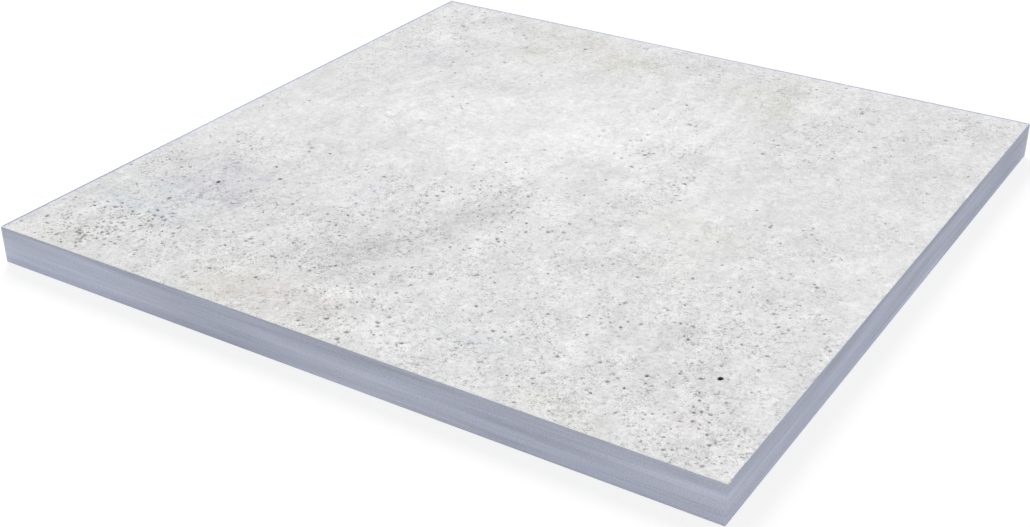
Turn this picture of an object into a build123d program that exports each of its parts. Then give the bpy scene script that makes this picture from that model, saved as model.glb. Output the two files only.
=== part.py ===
from build123d import *
import os

# Square concrete paving slab, cast in one piece and lying on its bedding face.
# Origin: centre of the bedding face. +Z is up, out of the wearing face that people walk on.
# X and Y run along the slab's edges. All sizes are in millimetres.

# Driving sizes
slab_side = 600.0  # length of each edge, seen from above
slab_thickness = 30.0  # bedding face to wearing face
wearing_arris = 0.6  # radius that eases the four edges round the wearing face
bedding_arris = 0.5  # radius that eases the four edges round the bedding face
upright_arris = 0.8  # radius of the four upright corner edges, which take the knocks

# The larger air voids: bubbles that rose to the wearing face and broke open there as the mix set.
# Each is part of a sphere that the face cuts across. A row gives where it lies, as shares of half a
# side from the slab's centre towards +X and towards +Y, then the width of its mouth and its depth.
air_voids = {
    "front corner": (0.828, -0.675, 3.6, 2.2),
    "front corner, small": (0.692, -0.747, 3.0, 1.3),
    "front edge, middle": (0.052, -0.627, 4.2, 1.6),
    "left of middle, near the front": (-0.710, -0.517, 3.6, 2.0),
    "left side": (-0.583, -0.417, 3.8, 1.5),
    "left corner": (-0.945, -0.897, 3.6, 1.4),
    "middle of the slab": (-0.130, -0.012, 3.0, 1.3),
    "behind the middle": (0.178, 0.480, 4.6, 1.7),
    "back left": (-0.783, 0.875, 3.8, 1.5),
    "back edge": (-0.373, 0.840, 3.8, 1.4),
    "back right": (0.567, 0.817, 4.4, 1.8),
    "right side": (0.437, 0.408, 3.8, 1.5),
}

cubic_mm_per_litre = 1e6


def slab_block():
    """The plain block, square in plan, with its bedding face on the floor."""
    block = Box(slab_side, slab_side, slab_thickness, align=(Align.CENTER, Align.CENTER, Align.MIN))
    return fillet(block.edges().filter_by(Axis.Z), upright_arris)


def ease_arrises(block):
    """Rounds the edge loop of each large face, which runs on round the upright corners."""
    wearing_edges = block.faces().sort_by(Axis.Z)[-1].edges()
    block = fillet(wearing_edges, wearing_arris)
    bedding_edges = block.faces().sort_by(Axis.Z)[0].edges()
    return fillet(bedding_edges, bedding_arris)


def air_void(across, along, mouth, depth):
    """The sphere that leaves a void of this mouth and depth where the wearing face cuts it."""
    bubble_radius = (mouth**2 / 4 + depth**2) / (2 * depth)
    half_side = slab_side / 2
    bubble_height = slab_thickness - depth + bubble_radius
    return Pos(across * half_side, along * half_side, bubble_height) * Sphere(bubble_radius)


slab = ease_arrises(slab_block()) - [air_void(*void) for void in air_voids.values()]
slab.label = "slab"

os.makedirs("parts", exist_ok=True)
export_step(slab, "parts/slab.step")
print(f"slab: {len(air_voids)} air voids, {slab.volume / cubic_mm_per_litre:.3f} litres of concrete")
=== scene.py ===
# %% [markdown]
# # A cast concrete paving slab
# The real slab is one casting, 600 mm square and 30 mm thick. It was poured face down on a smooth
# mould, so its wearing face is flat and pale, with small air voids, cement bloom and faint stains.
# Everything here is built around a measured solid that says how large the slab is. This script
# adds what the eye looks for: the pits as real hollows, the mottling, and the streaked sides.

# %% Load the measured slab
import math

import bpy
import numpy as np
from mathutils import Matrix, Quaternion, Vector, noise
from mathutils.geometry import delaunay_2d_cdt


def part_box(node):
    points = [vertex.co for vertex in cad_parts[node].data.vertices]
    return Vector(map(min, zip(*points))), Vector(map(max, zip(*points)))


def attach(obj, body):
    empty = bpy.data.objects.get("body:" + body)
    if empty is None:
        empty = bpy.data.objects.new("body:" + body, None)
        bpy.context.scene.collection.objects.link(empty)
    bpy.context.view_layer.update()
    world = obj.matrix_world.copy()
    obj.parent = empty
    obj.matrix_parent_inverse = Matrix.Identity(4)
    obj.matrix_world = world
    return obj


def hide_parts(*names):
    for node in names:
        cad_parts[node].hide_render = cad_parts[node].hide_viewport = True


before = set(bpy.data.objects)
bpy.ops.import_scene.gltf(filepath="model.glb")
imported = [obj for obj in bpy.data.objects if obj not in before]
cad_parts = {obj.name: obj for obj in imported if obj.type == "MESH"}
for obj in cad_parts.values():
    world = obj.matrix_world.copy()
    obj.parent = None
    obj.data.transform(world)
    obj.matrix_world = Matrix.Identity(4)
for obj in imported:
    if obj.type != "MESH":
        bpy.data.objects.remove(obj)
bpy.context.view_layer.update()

MM = 0.001
low, high = (np.array(corner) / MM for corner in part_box("slab"))
half = (high[0] - low[0]) / 2
top = high[2]
print("slab", 2 * half, "mm square and", top, "mm thick")

# %% [markdown]
# ## The camera
# A camera is three choices: where it stands, what it looks at, and how long its lens is. Here the
# slab is seen from above its front corner with a short telephoto, so that its far sides draw
# together only a little. The roll is a slight tilt of the head, a seventh of a degree.

# %% Stand the camera above the front corner
camera_stand = Vector((573.84, -958.62, 560.97)) * MM
camera_aim = Vector((58.3, -144.0, 30.0)) * MM
camera_roll = math.radians(-0.1425)
lens_length, sensor_width = 53.7, 36.0
nearest_seen = 0.01

camera_data = bpy.data.cameras.new("camera")
camera_data.lens = lens_length
camera_data.sensor_width = sensor_width
camera_data.clip_start = nearest_seen
camera = bpy.data.objects.new("camera", camera_data)
bpy.context.collection.objects.link(camera)
camera.location = camera_stand
facing = (camera_aim - camera_stand).to_track_quat("-Z", "Y")
camera.rotation_mode = "QUATERNION"
camera.rotation_quaternion = facing @ Quaternion((0, 0, 1), camera_roll)
bpy.context.scene.camera = camera
print("camera", round((camera_aim - camera_stand).length, 3), "m from what it looks at")

# %% [markdown]
# ## Where the air voids lie
# Air trapped against the mould leaves round pits. The twelve largest are in the solid already,
# and are repeated here at the same places, because this mesh takes the solid's place. A pit is
# its centre, the width of its mouth, its depth, and how dark it is inside, from dirt and painted
# shade. The pits that catch the eye are listed one by one, area by area. All places are in
# millimetres from the middle of the slab, with x to the right and y to the back.

# %% The twelve largest voids, as in the solid: x, y, mouth, depth, dirt and painted shade
cast_voids = {
    "front corner": (248.4, -202.5, 3.6, 2.2, 3.0),
    "front corner, small": (207.6, -224.1, 3.0, 1.3, 0.9),
    "front edge, middle": (15.6, -188.1, 4.2, 1.6, 0.35),
    "left of middle, near the front": (-213.0, -155.1, 3.6, 2.0, 1.7),
    "left side": (-174.9, -125.1, 3.8, 1.5, 0.6),
    "left corner": (-283.5, -269.1, 3.6, 1.4, 0.55),
    "middle of the slab": (-39.0, -3.6, 3.0, 1.3, 0.7),
    "behind the middle": (53.4, 144.0, 4.6, 1.7, 0.3),
    "back left": (-234.9, 262.5, 3.8, 1.5, 0.35),
    "back edge": (-111.9, 252.0, 3.8, 1.4, 0.7),
    "back right": (170.1, 245.1, 4.4, 1.8, 0.35),
    "right side": (131.1, 122.4, 3.8, 1.5, 0.45),
}

# %% Pits listed one by one, as x, y and the width of the mouth
placed_pits = {
    "left corner": [
        (-276, -255, 3.0), (-274, -277, 4.0), (-270, -265, 3.5), (-268, -262, 3.0), (-280, -273, 2.5),
        (-280, -261, 2.5), (-266, -237, 4.0), (-262, -227, 4.0), (-263, -216, 3.0), (-243, -293, 4.0),
        (-233, -288, 4.0), (-260, -295, 3.5), (-264, -283, 3.0), (-262, -288, 3.0), (-255, -286, 5.0),
        (-256, -273, 4.0), (-250, -272, 3.5), (-245, -276, 4.0), (-240, -277, 3.5), (-237, -272, 3.5),
        (-236, -276, 4.0), (-231, -274, 4.0), (-230, -269, 3.0), (-225, -275, 4.5), (-219, -273, 4.5),
        (-236, -284, 4.0), (-232, -285, 4.0), (-229, -292, 3.5), (-238, -262, 4.0), (-240, -253, 4.0),
        (-233, -252, 3.0), (-226, -254, 3.0), (-218, -257, 4.0), (-223, -258, 3.0), (-212, -265, 3.0),
        (-207, -274, 4.0), (-235, -232, 4.0), (-231, -233, 3.5), (-227, -231, 3.0), (-223, -223, 4.0),
        (-215, -225, 5.0), (-208, -224, 5.0), (-203, -226, 4.0), (-212, -234, 4.0), (-206, -238, 4.0),
        (-212, -243, 4.0), (-216, -248, 3.5), (-252, -243, 3.0), (-257, -235, 4.0), (-246, -228, 3.0),
        (-250, -223, 3.0), (-264, -254, 3.0), (-232, -238, 3.0), (-221, -235, 3.0),
    ],
    "left, towards the front": [
        (-285, -132, 3.0), (-223, -161, 3.6), (-200, -146, 3.0), (-196, -137, 2.5), (-253, -176, 3.5),
        (-242, -177, 3.0), (-177, -178, 3.5), (-165, -179, 3.0), (-181, -153, 4.0), (-147, -162, 3.5),
        (-138, -155, 3.5), (-148, -177, 3.0), (-226, -197, 4.5), (-233, -189, 3.0), (-257, -150, 4.0),
        (-276, -144, 3.5), (-271, -141, 3.0), (-197, -144, 2.5), (-234, -150, 2.5), (-294, -168, 2.5),
        (-289, -116, 3.0), (-237, -109, 2.5), (-192, -109, 4.0), (-146, -214, 3.0), (-168, -223, 3.0),
        (-165, -254, 3.5), (-137, -233, 4.0), (-128, -220, 3.5), (-107, -291, 3.0), (-123, -265, 3.5),
        (-128, -274, 3.5),
    ],
    "front edge, middle": [
        (-90, -147, 4.0), (-87, -144, 3.0), (-60, -200, 3.0), (-63, -168, 3.5), (-79, -172, 3.0),
        (-70, -229, 4.0), (-51, -217, 3.0), (-30, -237, 3.0), (-32, -248, 3.0), (-4, -248, 3.0),
        (-86, -258, 4.0), (-88, -222, 3.0), (13, -209, 4.0), (11, -223, 4.0), (1, -231, 3.0),
        (20, -243, 3.5), (17, -247, 3.0), (24, -262, 5.0), (27, -266, 4.0), (14, -283, 5.0),
        (14, -293, 5.0), (31, -276, 3.0), (53, -275, 4.0), (52, -279, 3.0), (45, -279, 3.0),
        (55, -171, 3.0), (61, -175, 3.0), (68, -209, 4.0), (80, -209, 3.5), (86, -144, 3.0),
        (24, -108, 3.5), (30, -122, 5.0), (27, -119, 4.0), (35, -121, 3.0), (18, -142, 3.5),
        (5, -148, 4.0), (94, -172, 3.0), (98, -195, 3.0), (95, -230, 4.0), (-8, -276, 4.0),
        (-23, -288, 3.5), (-16, -291, 3.0), (-34, -159, 3.0), (-18, -210, 3.5), (-18, -199, 3.0),
    ],
    "front corner": [
        (118, -107, 3.5), (113, -113, 3.0), (181, -144, 4.0), (188, -132, 3.0), (210, -141, 3.0),
        (206, -169, 3.0), (210, -171, 4.0), (205, -154, 4.0), (148, -178, 3.0), (165, -181, 4.0),
        (152, -174, 3.0), (150, -155, 3.0), (238, -209, 4.0), (224, -211, 3.0), (221, -224, 3.0),
        (205, -199, 3.0), (242, -158, 3.0), (254, -125, 4.0), (270, -120, 3.5), (260, -131, 3.0),
        (291, -131, 3.5), (294, -149, 3.0), (283, -117, 3.0), (152, -294, 3.5), (248, -258, 3.5),
        (268, -262, 3.5), (247, -268, 3.0), (260, -255, 3.0), (261, -259, 3.0), (274, -271, 3.5),
        (284, -278, 3.0), (235, -277, 3.0), (238, -289, 3.0), (264, -281, 3.0), (278, -283, 3.0),
        (295, -272, 3.0), (263, -225, 3.0), (150, -256, 4.0), (148, -265, 4.0), (151, -270, 3.0),
        (227, -263, 3.0),
    ],
    "left of the middle": [
        (-251, -88, 4.0), (-232, -93, 4.0), (-237, -89, 4.0), (-206, -95, 4.0), (-191, -65, 5.0),
        (-188, -72, 4.0), (-171, -66, 3.5), (-200, -57, 3.0), (-130, -69, 3.5), (-127, -75, 3.0),
        (-107, -78, 4.0), (-148, -70, 3.0), (-257, 13, 4.0), (-258, 7, 3.0), (-284, -18, 3.5),
        (-256, -25, 3.0), (-154, 88, 4.0), (-134, 82, 5.0), (-132, 70, 4.0), (-136, 74, 3.0),
        (-132, 45, 3.5), (-148, 30, 3.0), (-146, 25, 3.0), (-114, 34, 3.0), (-172, 10, 3.0),
    ],
    "middle": [
        (-37, 10, 3.5), (-52, -75, 4.0), (-51, -65, 3.0), (-65, -67, 3.0), (-68, -48, 3.0),
        (-55, -29, 3.0), (-89, -50, 3.0), (-13, -52, 3.5), (-30, -56, 3.0), (-25, -47, 3.0),
        (4, -14, 3.0), (18, -3, 3.0), (31, 0, 3.0), (46, 11, 4.0), (68, -25, 4.0), (56, -32, 3.0),
        (70, -55, 3.0), (78, 82, 3.0), (88, 59, 3.0), (99, 48, 3.0), (80, 23, 3.0), (-25, -62, 3.0),
        (-10, -86, 3.5), (-12, -92, 3.0), (9, -98, 3.0), (15, -93, 3.0), (-31, -78, 3.0),
        (7, -68, 3.0), (10, -64, 3.5), (13, -77, 3.0), (53, -90, 4.0), (63, -84, 4.0),
        (60, -70, 4.0), (-51, -98, 3.0), (50, 69, 5.0), (45, 75, 4.0), (55, 75, 4.0),
    ],
    "right of the middle": [
        (176, -96, 4.0), (204, -94, 3.0), (277, -99, 3.0), (255, -91, 3.0), (217, -85, 3.0),
        (199, -65, 3.0), (252, -59, 3.0), (232, -54, 3.0), (198, -46, 3.0), (167, -37, 3.0),
        (153, -44, 4.0), (153, -70, 3.0), (207, -15, 3.5), (190, 5, 4.0), (218, 20, 3.5),
        (213, 13, 3.0), (221, 10, 3.0), (170, 25, 3.5), (170, 89, 3.0), (172, 85, 3.0),
        (289, 35, 3.0), (261, 56, 3.0), (253, 57, 3.0), (104, 52, 4.0), (103, 65, 3.0),
    ],
    "back left": [
        (-258, 264, 3.5), (-221, 251, 3.5), (-278, 256, 5.0), (-251, 288, 4.0), (-222, 283, 5.0),
        (-217, 284, 4.0), (-182, 253, 4.5), (-176, 247, 4.0), (-131, 260, 4.0), (-148, 249, 3.5),
        (-139, 246, 3.0), (-108, 216, 3.0), (-119, 207, 3.0), (-214, 196, 3.0), (-233, 207, 3.0),
        (-180, 204, 3.0), (-197, 184, 4.0), (-159, 182, 4.0), (-251, 173, 3.5), (-224, 177, 3.5),
        (-224, 143, 3.0), (-184, 136, 4.0), (-126, 182, 3.0), (-151, 138, 3.5), (-248, 244, 5.0),
        (-244, 256, 4.0), (-129, 153, 3.0), (-111, 149, 3.0), (-197, 148, 3.0),
    ],
    "back, middle": [
        (-67, 217, 3.5), (-37, 192, 3.5), (-4, 193, 3.0), (11, 158, 4.0), (16, 280, 3.5), (5, 271, 3.0),
        (11, 251, 4.0), (25, 261, 3.0), (-8, 262, 4.0), (-42, 268, 3.0), (-59, 276, 3.0), (76, 280, 3.5),
        (69, 284, 3.0), (84, 249, 3.0), (93, 250, 3.5), (77, 228, 3.5), (88, 216, 3.0), (33, 106, 4.0),
        (82, 109, 3.0), (-34, 218, 4.0), (-17, 224, 3.0), (86, 186, 3.0),
    ],
    "back right": [
        (165, 253, 4.0), (137, 292, 3.0), (115, 275, 4.0), (110, 272, 3.0), (169, 277, 3.0),
        (261, 279, 3.5), (256, 273, 3.0), (273, 278, 3.0), (280, 271, 3.0), (276, 257, 3.0),
        (287, 282, 3.0), (204, 205, 3.5), (182, 207, 4.0), (205, 183, 5.0), (219, 186, 3.0),
        (207, 153, 3.5), (181, 190, 3.0), (125, 188, 3.0), (144, 178, 3.0), (132, 160, 3.0),
        (160, 167, 3.0), (170, 127, 3.5), (188, 125, 3.0), (261, 126, 3.0), (270, 122, 3.5),
        (288, 169, 3.5), (250, 178, 3.0), (256, 235, 3.0), (183, 144, 3.0),
    ],
}
print(sum(len(area) for area in placed_pits.values()), "pits placed by hand")

# %% [markdown]
# ## The pits that nobody counts
# Thousands of smaller pits crowd together where the mix held more air. Placing each would be
# drudgery, and scattering them evenly would look like sandpaper. So each crowd is an ellipse with a
# number of pits in it, and a seeded random generator drops them, the same ones on every run. A
# shaded pit looks wider than its mouth, so the given widths are then made smaller.

# %% Crowds of small pits: x, y, half-width, half-depth, how many, usual mouth
pit_crowds = {
    "all over": (0, 0, 400, 400, 1100, 1.6),
    "left corner": (-240, -262, 56, 38, 125, 2.7),
    "left corner, under the blue streak": (-222, -232, 42, 16, 50, 2.7),
    "front edge, left": (-135, -262, 60, 36, 64, 1.9),
    "front edge, left of the middle": (-45, -262, 42, 36, 60, 1.8),
    "pocked patch by the brown field": (-38, -212, 44, 30, 84, 1.9),
    "pocked patch, left of it": (-98, -208, 38, 32, 56, 2.0),
    "front edge, middle": (26, -268, 36, 32, 78, 2.2),
    "front edge, right of the middle": (92, -268, 36, 30, 56, 1.9),
    "front edge, right": (172, -262, 46, 36, 62, 1.8),
    "front corner": (262, -270, 36, 30, 92, 2.2),
    "front corner, behind": (222, -218, 46, 32, 66, 2.0),
    "right of the front middle": (110, -205, 60, 34, 70, 1.9),
    "front middle": (30, -165, 50, 34, 64, 2.1),
    "front middle, left": (-50, -150, 52, 30, 74, 2.0),
    "left of the front middle": (-150, -165, 60, 34, 70, 2.0),
    "left edge, towards the front": (-258, -158, 44, 40, 80, 2.1),
    "left edge, blue stain": (-226, -196, 44, 20, 30, 2.0),
    "front right": (160, -150, 46, 32, 72, 2.0),
    "right edge, towards the front": (250, -145, 48, 36, 88, 2.0),
    "left, behind the front": (-236, -86, 46, 26, 44, 2.0),
    "left of the middle, front": (-105, -88, 36, 26, 46, 1.9),
    "middle, front": (-28, -88, 36, 28, 60, 2.0),
    "middle, front right": (34, -90, 34, 28, 46, 2.0),
    "right of the middle, front": (112, -92, 48, 28, 44, 1.8),
    "right, behind the front": (236, -90, 62, 28, 54, 1.8),
    "middle": (-22, -34, 38, 28, 42, 2.0),
    "middle, right": (64, -32, 42, 28, 36, 1.9),
    "right of the middle": (226, -20, 54, 36, 44, 1.8),
    "pocked patch behind the middle": (56, 76, 34, 30, 42, 2.0),
    "behind the middle, right": (92, 28, 30, 28, 30, 1.8),
    "left of the middle": (-150, 28, 42, 26, 14, 1.9),
    "right edge, middle": (276, 32, 22, 30, 16, 1.7),
    "left edge, behind the middle": (-270, 140, 28, 46, 46, 1.9),
    "behind the middle, left": (-190, 178, 60, 34, 30, 1.9),
    "back, behind the middle": (34, 150, 34, 30, 22, 1.8),
    "pocked patch, back right": (150, 158, 34, 36, 54, 2.0),
    "back right, small pits": (232, 158, 52, 34, 36, 1.7),
    "back left": (-262, 214, 36, 30, 42, 2.0),
    "back left corner": (-262, 266, 36, 32, 58, 2.1),
    "back edge, left": (-160, 262, 66, 34, 50, 1.9),
    "back edge, middle": (-10, 262, 76, 34, 70, 1.9),
    "back edge, right": (110, 262, 60, 34, 56, 1.8),
    "back right": (170, 210, 90, 28, 44, 1.8),
    "back right corner": (268, 266, 32, 32, 50, 1.9),
}
print(len(pit_crowds), "crowds of", sum(crowd[4] for crowd in pit_crowds.values()), "small pits")

# %% Give each pit its shape
PIT = np.dtype([(name, float) for name in ("x", "y", "long", "wide", "turn", "depth", "dirt_and_shade", "knock")])
edge_clearance = 1.7
placed_share, crowd_share = 0.73, 0.74
smallest_mouth, largest_mouth, mouth_spread = 0.8, 3.4, 0.36
longest_stretch = 1.7
shallowest, deepest = 0.2, 0.5
# How dark the pits are inside: dirt, and painted shade of a hollow that gets little light.
placed_dirt_and_shade, crowd_dirt_and_shade, dirt_and_shade_bias = (0.23, 0.68), 0.64, 1.2
crowd_reach, crowd_pull = 1.15, 0.6
least_gap = 0.62
random = np.random.default_rng(600)
print("a pit is", ", ".join(PIT.names))


def pit(x, y, mouth, depth=None, dirt_and_shade=None):
    """One pit: its half-length and half-width, the turn of its long axis, its depth, and its dirt and
    painted shade.
    """
    stretch = random.uniform(1.0, longest_stretch)
    turn = random.uniform(0, math.pi)
    knock = random.uniform(0, 2 * math.pi)
    depth = depth or mouth * random.uniform(shallowest, deepest)
    dirt_and_shade = dirt_and_shade or random.uniform(0.1, 1.0) ** dirt_and_shade_bias * crowd_dirt_and_shade
    long_half = mouth / 2 * math.sqrt(stretch)
    return x, y, long_half, long_half / stretch, turn, depth, dirt_and_shade, knock


def crowd_of_pits(x, y, half_width, half_depth, count, usual_mouth, taken):
    """The pits taken so far and a crowd's own, thinner towards its edge, none on top of another."""
    for _ in range(count):
        angle = random.uniform(0, 2 * math.pi)
        away = random.uniform(0, 1) ** crowd_pull * crowd_reach
        px = x + half_width * away * math.cos(angle)
        py = y + half_depth * away * math.sin(angle)
        mouth = usual_mouth * crowd_share * random.lognormal(0, mouth_spread)
        mouth = float(np.clip(mouth, smallest_mouth, largest_mouth))
        one = np.array([pit(px, py, mouth)], PIT)
        inside = half - edge_clearance - mouth
        gaps = np.hypot(taken["x"] - px, taken["y"] - py) - least_gap * (taken["long"] + one["long"])
        if max(abs(px), abs(py)) < inside and gaps.min() > 0:
            taken = np.append(taken, one)
    return taken

# %% Drop all the pits: those of the solid, which are round, those placed by hand, and the crowds
pits = np.array([pit(*void) for void in cast_voids.values()], PIT)
pits["long"] = pits["wide"] = [void[2] / 2 for void in cast_voids.values()]
for area in placed_pits.values():
    placed = [pit(x, y, mouth * placed_share, dirt_and_shade=random.uniform(*placed_dirt_and_shade)) for x, y, mouth in area]
    pits = np.append(pits, np.array(placed, PIT))
for crowd in pit_crowds.values():
    pits = crowd_of_pits(*crowd, pits)
print(len(pits), "pits in all, the widest", round(2 * pits["long"].max(), 1), "mm")

# %% [markdown]
# ## The cast face as a height field
# The wearing face could be a flat square with a bump map, but a bump map casts no shadow and is lost
# in a side view. So every pit is real: rings of points round its rim, inside it and just outside it,
# with an even field of points between. A Delaunay triangulation joins them all, and each point is
# lowered by the deepest pit that it lies in. The ring just outside keeps the smooth shading of
# a rim from leaking over the flat around it. A wider pit gets more points, so it stays round.

# %% Points round every pit
rim_points = ((2.2, 6, 0), (3.2, 8, 4), (math.inf, 12, 6))  # up to this mouth: on the rim, inside it
inner_share, collar_share = 0.58, 1.32
squareness, lopsidedness = 0.10, 0.07


def rim_reach(pits, angle):
    """How far a pit's uneven rim is from its centre in a direction, in millimetres."""
    c, s = np.cos(angle - pits["turn"]), np.sin(angle - pits["turn"])
    oval = 1 / np.hypot(c / pits["long"], s / pits["wide"])
    twofold = squareness * np.sin(2 * angle + pits["knock"])
    threefold = lopsidedness * np.sin(3 * angle - pits["knock"])
    return oval * (1 + twofold + threefold)


def ring(one, count, share):
    """Points at a share of the way to a pit's rim."""
    angle = np.linspace(0, 2 * np.pi, count, endpoint=False) + one["knock"]
    reach = rim_reach(one, angle) * share
    return np.stack([one["x"] + reach * np.cos(angle), one["y"] + reach * np.sin(angle)], 1)


def pit_points(one):
    """The rings of one pit and its centre: more of them where the pit is wide."""
    count, inner = next(row[1:] for row in rim_points if 2 * one["long"] <= row[0])
    rings = [[(one["x"], one["y"])], ring(one, count, 1.0), ring(one, count, collar_share)]
    if inner:
        rings.append(ring(one, inner, inner_share))
    return np.vstack(rings)


points_at_pits = np.vstack([pit_points(one) for one in pits])
print(len(points_at_pits), "points round the pits")

# %% The rings of the slab's outline
top_arris, bottom_arris, corner_radius = 0.6, 0.5, 0.8
points_a_side, points_a_corner, arris_steps, side_rows = 166, 4, 4, 6
band, sharpest_corner = 1.5, 0.1


def outline(inset):
    """The slab's outline in plan, from its front left corner anticlockwise, set in from the sides."""
    radius = max(corner_radius - inset, sharpest_corner)
    straight = half - inset - radius
    along = np.linspace(-straight, straight, points_a_side, endpoint=False)
    curve = np.linspace(-np.pi / 2, 0, points_a_corner, endpoint=False)
    across = [along, straight + radius * np.cos(curve)]
    back = [np.full(points_a_side, inset - half), radius * np.sin(curve) - straight]
    side = np.stack([np.concatenate(across), np.concatenate(back)], 1)
    quarter = np.array([[0.0, 1.0], [-1.0, 0.0]])
    turns = [np.linalg.matrix_power(quarter, k) for k in range(4)]
    return np.vstack([side @ turn for turn in turns])


def arris(radius, first, last):
    """Insets and heights above the centre of an arris, in even steps between two angles."""
    angle = np.radians(np.linspace(first, last, arris_steps + 1))
    return [(radius * (1 - math.sin(a)), radius * math.cos(a)) for a in angle]


upper = [(inset, top - top_arris + rise) for inset, rise in arris(top_arris, 0, 90)]
lower = [(inset, bottom_arris + rise) for inset, rise in arris(bottom_arris, 90, 180)]
between = np.linspace(upper[-1][1], lower[0][1], side_rows + 1)[1:-1]
levels = upper + [(0.0, z) for z in between] + lower
print(len(levels), "rings of", len(outline(0.0)), "points from the wearing face to the bedding face")

# %% Points between the pits
grid_step, nudge_share = 3.9, 0.22
field_gap, clear_share = 1.2, 1.5
share_limit = 1.7


def spread_points(step, reach):
    """A staggered grid, each point nudged at random, up to a distance from the middle."""
    rows = np.arange(-reach, reach, step * math.sqrt(3) / 2)
    columns = np.arange(-reach, reach, step)
    x, y = np.meshgrid(columns, rows)
    x = x + step / 2 * (np.arange(len(rows)) % 2)[:, None]
    nudge = random.uniform(-nudge_share * step, nudge_share * step, (2, *x.shape))
    points = np.stack([(x + nudge[0]).ravel(), (y + nudge[1]).ravel()], 1)
    return points[np.abs(points).max(1) < reach]


def share_of_rim(points, one):
    """Where points lie in a pit: 0 at its centre, 1 on its rim. Only near ones are returned."""
    reach = share_limit * one["long"]
    across, along = points[:, 0] - one["x"], points[:, 1] - one["y"]
    close = np.flatnonzero((np.abs(across) < reach) & (np.abs(along) < reach))
    across, along = across[close], along[close]
    return close, np.hypot(across, along) / rim_reach(one, np.arctan2(along, across))


field = spread_points(grid_step, half - top_arris - band - field_gap)
free = np.ones(len(field), bool)
for one in pits:
    close, share = share_of_rim(field, one)
    free[close[share < clear_share]] = False
face_ring, band_ring = outline(top_arris), outline(top_arris + band)
face_points = np.vstack([face_ring, band_ring, points_at_pits, field[free]])
print(len(face_points), "points on the wearing face")

# %% The height of every point, and the dirt and painted shade in the pits
undulation, small_hill, wide_hill = 0.05, 14, 45
level_border = 4
bowl_power = 2.6
# How the dirt and painted shade fill a pit, darkest towards its middle.
dirt_and_shade_gain, dirt_and_shade_reach, dirt_and_shade_power = 1.6, 1.12, 0.7


def rolling(points, size):
    """Smooth noise at points in the plane, from about -1 to 1, with hills that wide."""
    return np.array([noise.noise(Vector((x / size, y / size, size))) for x, y in points])


sunk = np.zeros(len(face_points))
dirt_and_shade = np.zeros(len(face_points))
for one in pits:
    close, share = share_of_rim(face_points, one)
    bowl = np.clip(1 - share**bowl_power, 0, 1)
    sunk[close] = np.maximum(sunk[close], one["depth"] * bowl)
    filled = np.clip(dirt_and_shade_gain * (dirt_and_shade_reach - share), 0, 1) ** dirt_and_shade_power
    dirt_and_shade[close] = np.maximum(dirt_and_shade[close], np.clip(one["dirt_and_shade"] * filled, 0, 1))
inland = np.clip((half - np.abs(face_points).max(1) - top_arris - band) / level_border, 0, 1)
dips = undulation * inland * (1 + rolling(face_points, small_hill) + 0.6 * rolling(face_points, wide_hill))
face_heights = top - sunk - np.clip(dips, 0, None)
print("the lowest point of the wearing face is", round(sunk.max(), 2), "mm down")

# %% [markdown]
# ## Joining the faces into one skin
# The real slab is one closed piece, so the mesh is too: the wearing face, rings down the sides, and
# a coarser bedding face share their points where they meet. Three materials lie on it by face. On
# the two far edges the finish of the sides comes two millimetres over the wearing face, in a
# bluer shade, and seen from the camera it is the thin blue line that ends the slab there.

# %% Triangles over the two flat faces
bed_step, bed_gap = 14.0, 4.0


def joined(points, loop, loops):
    """Triangles over points in the plane that start with closed loops of so many points each."""
    flat = [Vector(point) for point in points]
    starts = range(0, loop * loops, loop)
    kept = [(start + k, start + (k + 1) % loop) for start in starts for k in range(loop)]
    made = delaunay_2d_cdt(flat, kept, [], 1, 1e-6)
    source = [min(names) for names in made[3]]
    return np.array([[source[k] for k in face] for face in made[2]])


count = len(face_ring)
face_triangles = joined(face_points, count, 2)
bed_ring = outline(bottom_arris)
bed_points = np.vstack([bed_ring, spread_points(bed_step, half - bottom_arris - bed_gap)])
bed_triangles = joined(bed_points, count, 1)[:, ::-1]
print(len(face_triangles), "triangles on the wearing face,", len(bed_triangles), "on the bedding face")

# %% Rings down the sides close the mesh
rings = [np.column_stack([outline(inset), np.full(count, z)]) for inset, z in levels[1:-1]]
bed_start = len(face_points) + count * len(rings)
bed_triangles = bed_triangles + bed_start
vertices = np.vstack([
    np.column_stack([face_points, face_heights]),
    *rings,
    np.column_stack([bed_points, np.full(len(bed_points), low[2])]),
])
starts = [0] + [len(face_points) + count * k for k in range(len(rings))] + [bed_start]
here = np.arange(count)
there = (here + 1) % count
side_quads = np.vstack([
    np.column_stack([upper_start + here, lower_start + here, lower_start + there, upper_start + there])
    for upper_start, lower_start in zip(starts, starts[1:])
])
faces = [*face_triangles.tolist(), *side_quads.tolist(), *bed_triangles.tolist()]
mesh = bpy.data.meshes.new("slab_cast")
mesh.from_pydata((vertices * MM).tolist(), [], faces)
mesh.polygons.foreach_set("use_smooth", np.ones(len(faces), bool))
slab = bpy.data.objects.new("slab_cast", mesh)
bpy.context.collection.objects.link(slab)
triangle_count = len(face_triangles) + 2 * len(side_quads) + len(bed_triangles)
print("mesh of", len(vertices), "points and", triangle_count, "triangles")

# %% Say which finish each face gets
WEARING, SIDE, BEDDING = range(3)
face_counts = [len(face_triangles), len(side_quads), len(bed_triangles)]
finish_of_face = np.repeat([WEARING, SIDE, BEDDING], face_counts)
face_places = vertices[np.array([face[:3] for face in faces])].mean(1)
rim = half - top_arris - band
on_far_sides = (face_places[:, 0] < -rim) | (face_places[:, 1] > rim)
near_rim = np.zeros(len(faces), bool)
near_rim[: len(face_triangles)] = (face_triangles < 2 * count).all(1)
finish_of_face[near_rim & on_far_sides] = SIDE
quad_number = np.arange(len(faces)) - len(face_triangles)
upper_arris = (quad_number >= 0) & (quad_number < count * arris_steps // 2)
finish_of_face[upper_arris & (face_places[:, 1] < -rim)] = WEARING
mesh.polygons.foreach_set("material_index", finish_of_face.astype(np.int32))
print("faces of each finish", np.bincount(finish_of_face))
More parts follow.
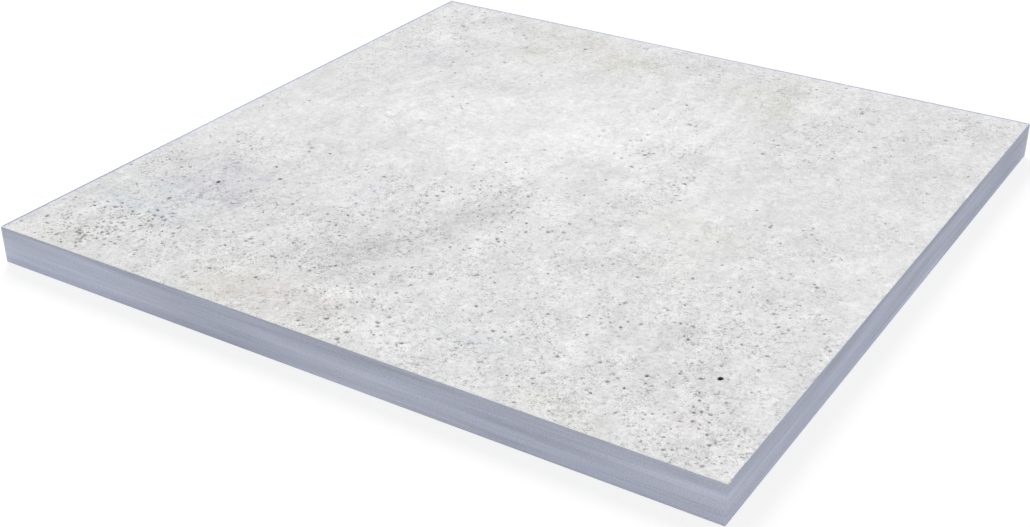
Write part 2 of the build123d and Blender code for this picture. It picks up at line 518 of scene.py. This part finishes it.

# %% [markdown]
# ## A flat map of the slab
# Noise nodes work in Blender alone. To show the slab elsewhere its colours have to be baked to one
# square image, and a UV map says where each face lies on it. The wearing face gets the most room. The
# four sides are cut at the corners, unrolled and stood upright beside it, at the same scale, and the
# bedding face takes the corner that is left.

# %% Lay the faces out on the unit square
margin, strip_step = 0.004, 0.046
face_room, bed_room = 0.80, 0.184
map_scale, bed_scale = face_room / (2 * half), bed_room / (2 * half)
strips_start = 2 * margin + face_room


def at_centre(points, scale, corner):
    """Flat places for points in the plane, from a corner of the map, at a scale."""
    return (points[:, :2] + half) * scale + corner


outer = outline(0.0)
steps_along = np.hypot(*(np.roll(outer, -1, 0) - outer).T)
along_outline = np.concatenate([[0.0], np.cumsum(steps_along)])
down_profile = np.concatenate([[0.0], np.cumsum(np.hypot(*np.diff(np.array(levels), axis=0).T))])

face_map = at_centre(vertices, map_scale, margin)[face_triangles].reshape(-1, 2)
bed_places = at_centre(vertices * (-1, 1, 1), bed_scale, (margin, strips_start))
bed_map = bed_places[bed_triangles].reshape(-1, 2)
per_side = count // 4
side_of = here // per_side
first, last = (along_outline[k] - along_outline[side_of * per_side] for k in (here, here + 1))
strip_maps = []
for upper_down, lower_down in zip(down_profile, down_profile[1:]):
    for run, down in ((first, upper_down), (first, lower_down), (last, lower_down), (last, upper_down)):
        across = strips_start + side_of * strip_step + down * map_scale
        strip_maps.append(np.column_stack([across, margin + run * map_scale]))
by_corner = np.array(strip_maps).reshape(len(levels) - 1, 4, count, 2)
side_map = by_corner.transpose(0, 2, 1, 3).reshape(-1, 2)
flat_map = np.vstack([face_map, side_map, bed_map])
mesh.uv_layers.new(name="OFBake").data.foreach_set("uv", flat_map.astype(np.float32).ravel())
print("the map spans", flat_map.min(0).round(3), "to", flat_map.max(0).round(3), "of the square")

# %% [markdown]
# ## Painting the broad stains
# Lime bloom, damp marks and mould oil leave soft patches with a place of their own, which noise
# alone can't give. They could be painted by hand on an image. Here each is an ellipse with
# a strength in steps of lightness, written to the points of the mesh, and a colour cast. Noise bends
# the ellipses so that no edge looks drawn. A step is one 255th of a screen's range. Where pits
# crowd, the skin between them is coarser as well, so the crowds are written to the points too.

# %% The casts, in steps of red, green and blue
casts = {
    "plain": (0, 0, 0),
    "lilac": (0.2, -0.4, 1.1),
    "violet": (-0.4, -0.6, 1.7),
    "blue": (-2.3, 0.1, 1.8),
    "olive": (0.5, 0.4, -2.2),
    "brown": (1.2, -0.1, -2.3),
    "pink": (2.6, -1.0, -0.7),
}

# %% The stains: x, y, half-width, half-depth, steps of lightness, and some have a cast and a turn
stains = {
    "light and shade over a hand's width": [
        (-10, 60, 130, 120, 2), (-235, -250, 80, 55, -2), (-215, -165, 80, 40, -1),
        (-60, -215, 70, 50, -1),
    ],
    "lime bloom over the middle": [
        (-35, 90, 120, 110, 6), (-22, 55, 8, 40, 7), (-110, 100, 12, 12, 8),
        (-180, 40, 22, 22, 8, "lilac"), (50, 115, 30, 15, 7, "lilac"), (50, 55, 25, 12, 8),
        (-30, 30, 25, 30, 6), (-20, -20, 30, 20, 4), (-85, 0, 26, 22, 4), (155, 60, 6, 20, 6),
        (20, 195, 6, 15, 7), (-28, 225, 4, 10, 10), (65, 5, 12, 16, 6), (40, -70, 20, 30, 3),
        (130, 235, 18, 18, 7), (250, 200, 20, 15, 4, "lilac"), (285, -25, 25, 12, 5),
    ],
    "lime bloom, left": [
        (-122, -45, 14, 14, 6), (-245, -62, 20, 14, 8), (-250, 202, 25, 14, 9),
        (-270, 270, 25, 20, 4), (-195, 240, 30, 14, 5), (-110, -110, 25, 40, 5, "lilac"),
    ],
    "lime bloom, front": [
        (100, -165, 30, 25, 4), (45, -200, 25, 25, 4), (30, -280, 25, 20, 5), (150, -225, 12, 35, 5),
        (175, -115, 15, 20, 4), (270, -120, 30, 30, 2, "lilac"), (-20, -240, 15, 8, 6),
        (-50, -246, 20, 5, 8), (-270, -262, 20, 25, 5), (285, -270, 20, 20, 4),
    ],
    "damp streak, middle to front": [
        (8, -67, 12, 22, -9), (-7, -100, 14, 20, -9), (-15, -135, 12, 20, -8),
        (-37, -170, 14, 16, -9), (-50, -192, 18, 14, -9), (-45, -210, 18, 12, -5),
        (40, -10, 8, 18, -8), (20, 25, 20, 12, -5), (75, -60, 30, 12, -5, "plain", 45),
        (75, -20, 16, 12, -5),
    ],
    "cool stains, most of them on the left": [
        (-205, -160, 30, 16, -7, "violet"), (-245, -170, 20, 12, -7, "violet"),
        (-180, -170, 18, 12, -6, "violet"), (-235, -130, 30, 14, -6, "violet"),
        (-195, -130, 18, 12, -6, "lilac"), (-250, -220, 25, 8, -4, "blue"),
        (-207, -227, 14, 14, -3, "lilac"), (-220, -190, 25, 10, -4, "blue"),
        (-226, -216, 36, 4, 0, "blue", -4), (86, -247, 27, 4, -4, "blue"),
        (-215, 155, 30, 14, -6, "violet"), (-205, 205, 14, 14, -8, "lilac"),
        (-252, 175, 10, 10, -6, "lilac"), (-240, 40, 25, 14, -4),
    ],
    "grey damp marks": [
        (-115, -162, 14, 10, -7), (-85, -160, 14, 10, -5), (-215, -20, 15, 14, -5),
        (-170, -45, 25, 25, -4), (-180, 120, 40, 10, -4), (-120, 130, 20, 20, -4),
        (-50, 110, 25, 12, -5, "plain", 35), (-70, 195, 14, 10, -6), (205, -167, 9, 9, -9),
        (210, -230, 16, 20, -5), (125, -110, 14, 12, -5), (220, 5, 12, 14, -5),
        (235, 190, 12, 40, -5), (167, 247, 9, 9, -8), (115, 175, 15, 40, -5), (150, 100, 14, 10, -4),
        (95, 80, 14, 14, -5), (255, 50, 18, 12, -4), (55, 80, 10, 16, -6), (15, 270, 16, 12, -4),
        (-175, 270, 16, 20, -4), (-185, 220, 56, 3, -7), (-220, 285, 10, 10, -5),
    ],
    "brown and olive stains": [
        (-250, -285, 16, 16, -9, "olive"), (-60, -275, 45, 24, -5, "brown"),
        (-100, -280, 20, 20, -4, "olive"), (250, -255, 10, 10, -4, "pink"),
        (-130, 270, 25, 25, -8, "olive"), (-85, 237, 22, 16, -7, "brown"),
        (-145, 225, 18, 14, -4, "olive"), (-50, 240, 25, 20, -8, "olive"),
        (70, 235, 14, 14, -6, "olive"), (100, 250, 15, 30, -6, "olive"),
        (105, 215, 14, 14, -5, "olive"), (140, -25, 30, 10, -1, "olive"),
        (160, -45, 16, 10, -1, "olive"), (150, -85, 16, 12, -1, "olive"),
        (170, -285, 16, 10, -1, "olive"), (195, -294, 12, 8, -1, "olive"),
        (-151, 214, 5, 4, 0, "brown"), (-117, 270, 6, 5, -2, "pink"), (-70, -270, 6, 5, 0, "pink"),
        (-50, -265, 5, 4, 0, "pink"), (-20, -255, 5, 4, 0, "pink"), (-90, -285, 5, 4, 0, "pink"),
        (-186, -109, 5, 3, 1, "brown"),
    ],
}

# %% Bend the ellipses and write them to the points
bend, wide_bend, narrow_bend = 7.0, 22, 9
patchiness, patch_size = 0.9, 7
edge_power, edge_weight = 4, 0.8
darkest, palest = -20, 13


def wander(shift):
    """How far noise pushes each point one way. Another shift gives another pattern."""
    places = face_points + shift
    return rolling(places, wide_bend) + 0.6 * rolling(places, narrow_bend)


bent = face_points + bend * np.stack([wander(0), wander(500)], 1)
broken = 1 + patchiness * rolling(face_points, patch_size)


def stain_strength(x, y, half_width, half_depth, turn=0):
    """How strongly a stain shows at every point of the face: 1 in its middle, fading past its edge."""
    c, s = math.cos(math.radians(turn)), math.sin(math.radians(turn))
    away = bent - (x, y)
    across = (away[:, 0] * c + away[:, 1] * s) / half_width
    along = (away[:, 1] * c - away[:, 0] * s) / half_depth
    return 1 / (1 + np.hypot(across, along) ** edge_power * edge_weight)


def stain_paint(x, y, half_width, half_depth, steps, cast="plain", turn=0):
    """A stain's steps of red, green and blue at every point of the face."""
    strength = stain_strength(x, y, half_width, half_depth, turn) * broken
    return strength[:, None] * (steps + np.array(casts[cast]))


paint = sum(stain_paint(*stain) for group in stains.values() for stain in group)
paint = np.clip(paint, darkest, palest)
print("stains from", paint.min().round(1), "to", paint.max().round(1), "steps")

# %% Write the stains, the dirt and painted shade of the pits, and the coarse skin to the mesh
full_density = 0.02  # pits to a square millimetre


def store(name, kind, key, values):
    """Writes values for the face's points as an attribute that a material can read by name."""
    every = np.zeros((len(vertices), *values.shape[1:]), np.float32)
    every[: len(values)] = values
    mesh.attributes.new(name, kind, "POINT").data.foreach_set(key, every.ravel())


coarse = np.zeros(len(face_points))
for x, y, half_width, half_depth, number, _ in pit_crowds.values():
    crowding = number / (math.pi * half_width * half_depth)
    coarse += crowding / full_density * stain_strength(x, y, half_width, half_depth)
coarse = np.clip(coarse, 0, 1)
print("the skin is", round(coarse.mean(), 2), "coarse on average")
store("coarse", "FLOAT", "value", coarse)
store("stain", "FLOAT_VECTOR", "vector", paint)
store("dirt_and_shade", "FLOAT", "value", dirt_and_shade)

# %% [markdown]
# ## Writing shaders as sums
# A material is a graph of nodes, which is slow to wire by hand and hard to read. These two small
# classes let a line of Python stand for it: Wire is one output of a node, and adding or scaling it
# makes the Math node that does so. Finish holds the nodes of one material or of the world, and
# its method node makes every other kind of node from a type, its settings and what goes into its
# sockets. Its further methods are the steps that the finishes share.

# %% One output of a node
class Wire:
    """An output of a node. Sums of it and numbers make Math nodes."""

    def __init__(self, finish, socket):
        self.finish = finish
        self.socket = socket

    def __add__(self, other):
        return self.finish.maths("ADD", self, other)

    __radd__ = __add__

    def __sub__(self, other):
        return self.finish.maths("SUBTRACT", self, other)

    def __rsub__(self, other):
        return self.finish.maths("SUBTRACT", other, self)

    def __mul__(self, other):
        return self.finish.maths("MULTIPLY", self, other)

    __rmul__ = __mul__


print("a Wire can be added, subtracted and multiplied")

# %% The nodes of one finish
cloud_gain = 7.0
wobble_scale, wobble_share = 0.6, 0.8
faintest_chance = 1.3
dull_gloss = 0.3


class Finish:
    """A material, or the world, under construction."""

    def __init__(self, owner):
        self.owner = owner
        owner.use_nodes = True
        self.tree = owner.node_tree
        self.tree.nodes.clear()

    def node(self, kind, settings=None, sockets=None, output=0):
        """Makes a node of a type, sets its settings first, then fills or links its sockets."""
        made = self.tree.nodes.new("ShaderNode" + kind)
        for name, value in (settings or {}).items():
            setattr(made, name, value)
        for name, value in (sockets or {}).items():
            if isinstance(value, Wire):
                self.tree.links.new(value.socket, made.inputs[name])
            else:
                made.inputs[name].default_value = value
        return Wire(self, made.outputs[output]) if made.outputs else None

    def maths(self, operation, first, second):
        """One sum on two numbers."""
        return self.node("Math", {"operation": operation}, {0: first, 1: second})

    def vector(self, operation, first, second):
        """One sum on two vectors or colours."""
        return self.node("VectorMath", {"operation": operation}, {0: first, 1: second})

    def scaled(self, colour, light):
        """A colour made lighter or darker."""
        return self.node("VectorMath", {"operation": "SCALE"}, {0: colour, "Scale": light})

    def place(self):
        """Where a point lies on the slab, in millimetres."""
        return self.vector("MULTIPLY", self.node("TexCoord", output="Object"), [1 / MM] * 3)

    def painted(self, name, output="Fac"):
        """What was written to the points of the mesh under that name."""
        return self.node("Attribute", {"attribute_name": name}, output=output)

    def fade(self, value, start, end):
        """0 below start, 1 above end, and a smooth step between."""
        settings = {"interpolation_type": "SMOOTHSTEP"}
        return self.node("MapRange", settings, {"Value": value, "From Min": start, "From Max": end})

    def blend(self, share, first, second):
        """One colour turning into another."""
        return self.node("Mix", {"data_type": "RGBA"}, {0: share, 6: first, 7: second}, output=2)

    def clouds(self, place, size, detail=0.0, roughness=0.5, stretch=(1, 1, 1), bend=0.0):
        """Noise patches that many millimetres wide, evenly above and below zero, spread about one."""
        shrunk = self.vector("MULTIPLY", place, [1 / (size * s) for s in stretch])
        sockets = {"Vector": shrunk, "Scale": 1.0, "Detail": detail}
        sockets |= {"Roughness": roughness, "Distortion": bend}
        return (self.node("TexNoise", {}, sockets) - 0.5) * cloud_gain

    def marks(self, place, spacing, core, rim, rarity):
        """Uneven round marks, at most one to a cell of that spacing: from 0 to 1, the rarer the fewer."""
        noisy = self.node("TexNoise", {}, {"Vector": place, "Scale": wobble_scale}, output="Color")
        wobble = self.vector("SUBTRACT", noisy, [0.5] * 3)
        bent = self.vector("ADD", place, self.vector("MULTIPLY", wobble, [wobble_share * spacing] * 3))
        cells = {"Vector": self.vector("MULTIPLY", bent, [1 / spacing] * 3), "Scale": 1.0}
        near = self.node("TexVoronoi", {"voronoi_dimensions": "2D"}, cells, output="Distance")
        draw = self.node("TexVoronoi", {"voronoi_dimensions": "2D"}, cells, output="Color")
        chance = self.node("SeparateColor", {}, {"Color": draw}, output="Red")
        return (1 - self.fade(near, core, rim)) * self.fade(chance, rarity, faintest_chance)

    def concrete(self, colour, rough, height):
        """Ends a material as dull concrete: its colour, its roughness, its relief in millimetres."""
        bump = self.node("Bump", {}, {"Strength": 1.0, "Distance": MM, "Height": height})
        sockets = {"Base Color": colour, "Roughness": rough, "Normal": bump}
        return self.ended(self.node("BsdfPrincipled", {}, sockets | {"Specular IOR Level": dull_gloss}))

    def ended(self, shader, output="OutputMaterial"):
        """Sends a shader to the output, and gives back the material or world."""
        self.node(output, {}, {"Surface": shader})
        return self.owner


print("a Finish is ready to be filled with nodes")

# %% [markdown]
# ## The wearing face
# Pale cement is not one colour. Broad stains come from the painted points. Over them lie clouds from
# a hand's width down to a grain of sand, each as strong as on the real slab, and lime that dried in
# blotches with crisp edges. Pits too small to model are dots from a Voronoi pattern, darkened with
# dirt and painted shade, which also dent the surface. The modelled pits get their dirt and painted
# shade from the points. All of it is worked out in steps of lightness and turned into a colour
# once, at the end.

# %% Mix the wearing face
cement, step_share = 0.750, 0.0101
# The dark colour in the pits stands for dirt and for painted shade inside the hollows.
dirt_and_shade_colour = (0.014, 0.0135, 0.013, 1.0)
lime_steps, scour_steps = 5.0, 4.5
# The small pits' darkness is dirt and painted shade of the hollows.
pock_dirt_and_shade_steps, speck_dirt_and_shade_steps = 33.0, 23.0
less_green, more_blue = 0.5, 1.4


def wearing_face():
    """Cement in steps of lightness: clouds of each size, lime, scour, pocks and specks."""
    finish = Finish(bpy.data.materials.new("pale_cast_concrete"))
    place = finish.place()
    coarse = finish.painted("coarse")

    broad = 1.5 * finish.clouds(place, 90, 1, 0.6) + 2.6 * finish.clouds(place, 32, 1, 0.7, (1, 1.5, 1))
    middle = finish.clouds(place, 12, 1, 0.8, (0.9, 1.4, 1), 0.6) + finish.clouds(place, 5, 1, 0.8)
    middle = 4.8 * middle
    small = finish.clouds(place, 2.4, 1, 0.7, bend=0.5)
    smallest = finish.clouds(place, 1.1, 1, 0.9)
    worn = finish.fade(finish.clouds(place, 20, 4, 0.65, (1, 1.5, 1), 1.0), -0.7, 0.8)
    grain = (5.5 + 5.0 * coarse) * small + (6.5 + 6.5 * coarse) * smallest
    flecks = (4.0 + 14.0 * coarse) * finish.fade(small + 0.6 * smallest, 0.2, 1.8)
    texture = (0.55 + 0.95 * worn) * (grain - flecks)
    lime = finish.fade(finish.clouds(place, 16, 5, 0.68, (1, 1.8, 1), 0.8), 0.4, 0.8)
    scour = finish.fade(finish.clouds(place, 9, 5, 0.72, bend=1.2), 0.8, 1.3)
    open_skin = coarse + 0.7 * worn - 0.35
    pocks = finish.marks(place, 4.6, 0.14, 0.34, 0.97 - 0.5 * open_skin)
    specks = finish.marks(place, 2.7, 0.12, 0.32, 0.92 - 0.35 * open_skin)

    steps = broad + middle + texture + lime_steps * lime - scour_steps * scour
    steps = steps - pock_dirt_and_shade_steps * pocks - speck_dirt_and_shade_steps * specks
    tint = finish.fade(finish.clouds(place, 20, 2, 0.6, (1, 1.6, 1), 0.8), 0.2, 1.6)
    channels = {0: steps, 1: steps - less_green * tint, 2: steps + more_blue * tint}
    stain = finish.painted("stain", "Vector")
    all_steps = finish.vector("ADD", stain, finish.node("CombineXYZ", {}, channels))
    shade = finish.node("VectorMath", {"operation": "MULTIPLY_ADD"},
                        {0: all_steps, 1: [step_share * cement] * 3, 2: [cement] * 3})
    # The pits are darkened with dirt and painted shade.
    colour = finish.blend(finish.painted("dirt_and_shade"), shade, dirt_and_shade_colour)

    height = 0.07 * small + 0.03 * smallest - 0.5 * pocks - 0.2 * specks
    return finish.concrete(colour, 0.86 + 0.007 * middle + 0.05 * lime, height)


mesh.materials.append(wearing_face())
print("wearing face:", len(mesh.materials[0].node_tree.nodes), "nodes")

# %% [markdown]
# ## The sides
# The sides were drawn out of the mould, which leaves long faint lines along them. They are bluer and
# darker than the wearing face, partly as painted shade, the same concrete made up as turned away from
# the light. The same noise as before gives the lines once it is stretched twenty to seventy times
# along the side. Height above the floor makes the side paler towards its foot, painted light that
# makes up for the shade the floor puts there, and darker at its two edges, at the lower one as painted
# shade where the arris turns under, and turns the very top of the arris bluer.

# %% Mix the sides
# Partly painted shade: the side colours are the cement made darker and bluer, as turned from the light.
side_colour_with_painted_shade = (0.430, 0.458, 0.562, 1.0)
greyer_side_with_painted_shade = (0.440, 0.459, 0.543, 1.0)
line_colour = (0.34, 0.41, 0.60, 1.0)
# Painted light: the side is made paler low down, making up for the shade that the floor puts there.
painted_light_at_foot, painted_light_downwards = 0.10, 0.12
# The lower edge is darkened as painted shade, where the arris turns under the slab.
upper_edge_darker, painted_foot_shade = 0.06, 0.40


def side_face():
    """Concrete with long level lines, with painted light and shade set by height above the floor."""
    finish = Finish(bpy.data.materials.new("drawn_concrete_side"))
    place = finish.place()
    broad = finish.clouds(place, 9.0, 1, 0.5, (20, 20, 1))
    wide = finish.clouds(place, 4.5, 1, 0.7, (30, 30, 1))
    fine = finish.clouds(place, 1.2, 1, 0.8, (70, 70, 1))
    grain = finish.clouds(place, 0.9, 1, 0.9, (1.4, 1.4, 0.9))
    lines = 0.072 * broad + 0.045 * wide + 0.060 * fine + 0.095 * grain

    up = finish.node("SeparateXYZ", {}, {"Vector": place}, output="Z")
    # Painted light, paler towards the foot.
    painted_light = painted_light_downwards * (1 - finish.fade(up, 4.0, top)) + painted_light_at_foot * (1 - finish.fade(up, 0.5, 6.0))
    upper_edge = upper_edge_darker * finish.fade(up, top - 6, top)
    # Painted shade in the lowest millimetre.
    foot_shade = painted_foot_shade * (1 - finish.fade(up, 0.2, 0.9))
    light = 1.022 + lines + painted_light - upper_edge - foot_shade

    greyer = finish.fade(finish.clouds(place, 4.0, 2, 0.7, (30, 30, 1)), -0.6, 1.2)
    base = finish.blend(greyer, side_colour_with_painted_shade, greyer_side_with_painted_shade)
    base = finish.blend(finish.fade(up, top - 0.15, top - 0.03), base, line_colour)
    height = 0.012 * wide + 0.01 * fine + 0.01 * grain
    return finish.concrete(finish.scaled(base, light), 0.82 + 0.03 * fine, height)


mesh.materials.append(side_face())
print("sides:", len(mesh.materials[SIDE].node_tree.nodes), "nodes")

# %% [markdown]
# ## The bedding face
# Nobody sees the face that lies on the sand. It was struck off with a board, so it is level, darker
# and rougher, with open grains of sand. It has the same care as the rest but fewer layers.

# %% Mix the bedding face
bed_colour = (0.53, 0.54, 0.56)


def bedding_face():
    """Struck concrete: patches, the drag of the board, sand grains and small holes."""
    finish = Finish(bpy.data.materials.new("struck_concrete_bed"))
    place = finish.place()
    patches = finish.clouds(place, 60, 2, 0.6)
    drag = finish.clouds(place, 6.0, 2, 0.6, (8, 1, 1))
    sand = finish.clouds(place, 1.6, 2, 0.8)
    holes = finish.marks(place, 8.0, 0.08, 0.22, 0.55)
    # The small holes are darkened as painted shade, the shade inside each hole.
    light = 1 + 0.05 * patches + 0.03 * drag + 0.08 * sand - 0.45 * holes
    height = 0.08 * sand + 0.06 * drag - 0.8 * holes
    return finish.concrete(finish.scaled(bed_colour, light), 0.9 + 0.02 * sand, height)


mesh.materials.append(bedding_face())
print("bedding face:", len(mesh.materials[BEDDING].node_tree.nodes), "nodes")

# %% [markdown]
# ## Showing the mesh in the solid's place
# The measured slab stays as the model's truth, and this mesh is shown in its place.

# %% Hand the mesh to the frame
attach(slab, "root")
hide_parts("slab")

# %% [markdown]
# ## Floor and light
# The light is that of a plain studio: white walls all round that are brighter than the ceiling,
# and one broad lamp from the back left, low enough to put a shadow on one wall of each pit and
# a glint on the other. Together they light a level surface at one, so a colour renders as it is
# written, and the bright walls keep the sides from going dull. What the camera meets directly is
# white all the same: a Light Path node tells such rays from those that light the slab. The floor
# does so only in part, and so keeps some of the slab's shadow.

# %% Light the studio
ceiling, wall_gain = 0.20, 1.08
key_share = 0.44
key_height = math.radians(48)
key_from = math.radians(135)
key_softness = math.radians(24)

key_data = bpy.data.lights.new("key", "SUN")
key_data.energy = key_share * math.pi / math.sin(key_height)
key_data.angle = key_softness
key = bpy.data.objects.new("key", key_data)
bpy.context.collection.objects.link(key)
level = math.cos(key_height)
towards_key = Vector((math.cos(key_from) * level, math.sin(key_from) * level, math.sin(key_height)))
key.rotation_mode = "QUATERNION"
key.rotation_quaternion = (-towards_key).to_track_quat("-Z", "Y")
print("key", round(key_data.energy, 2), "W/m2")

# %% The white surround
def seen_directly(finish):
    """1 for what the camera, a reflection or a view through glass meets, and else 0."""
    kinds = ("Is Camera Ray", "Is Glossy Ray", "Is Transmission Ray")
    camera_ray, glossy_ray, glass_ray = (finish.node("LightPath", output=kind) for kind in kinds)
    either = finish.node("Math", {"operation": "ADD", "use_clamp": True}, {0: camera_ray, 1: glossy_ray})
    return finish.maths("MAXIMUM", either, glass_ray)


studio = Finish(bpy.data.worlds.new("studio"))
direction = studio.node("TexCoord", output="Generated")
upward = studio.node("SeparateXYZ", {}, {"Vector": direction}, output="Z")
walls = studio.node("MapRange", {}, {"Value": upward, "To Min": ceiling + wall_gain, "To Max": ceiling})
strength = studio.node("Mix", {}, {"Factor": seen_directly(studio), "A": walls, "B": 1.0})
air = studio.node("Background", {}, {"Color": (1, 1, 1, 1), "Strength": strength})
bpy.context.scene.world = studio.ended(air, "OutputWorld")
print("the walls light at", ceiling + wall_gain, "and the ceiling at", ceiling)

# %% The floor
floor_size, floor_drop = 12.0, 0.2 * MM
floor_colour, floor_glow, glow_share = (0.9, 0.9, 0.9, 1.0), 1.08, 0.72

bpy.ops.mesh.primitive_plane_add(size=floor_size, location=(0, 0, -floor_drop))
floor = bpy.context.object
floor.name = "floor"
floor_finish = Finish(bpy.data.materials.new("white_floor"))
matte = floor_finish.node("BsdfDiffuse", {}, {"Color": floor_colour})
glow = floor_finish.node("Emission", {}, {"Color": (1, 1, 1, 1), "Strength": floor_glow})
glowing = glow_share * seen_directly(floor_finish)
surface = floor_finish.node("MixShader", {}, {0: glowing, 1: matte, 2: glow})
floor.data.materials.append(floor_finish.ended(surface))
bpy.context.scene.view_settings.view_transform = "Standard"
print("floor and surround are white")
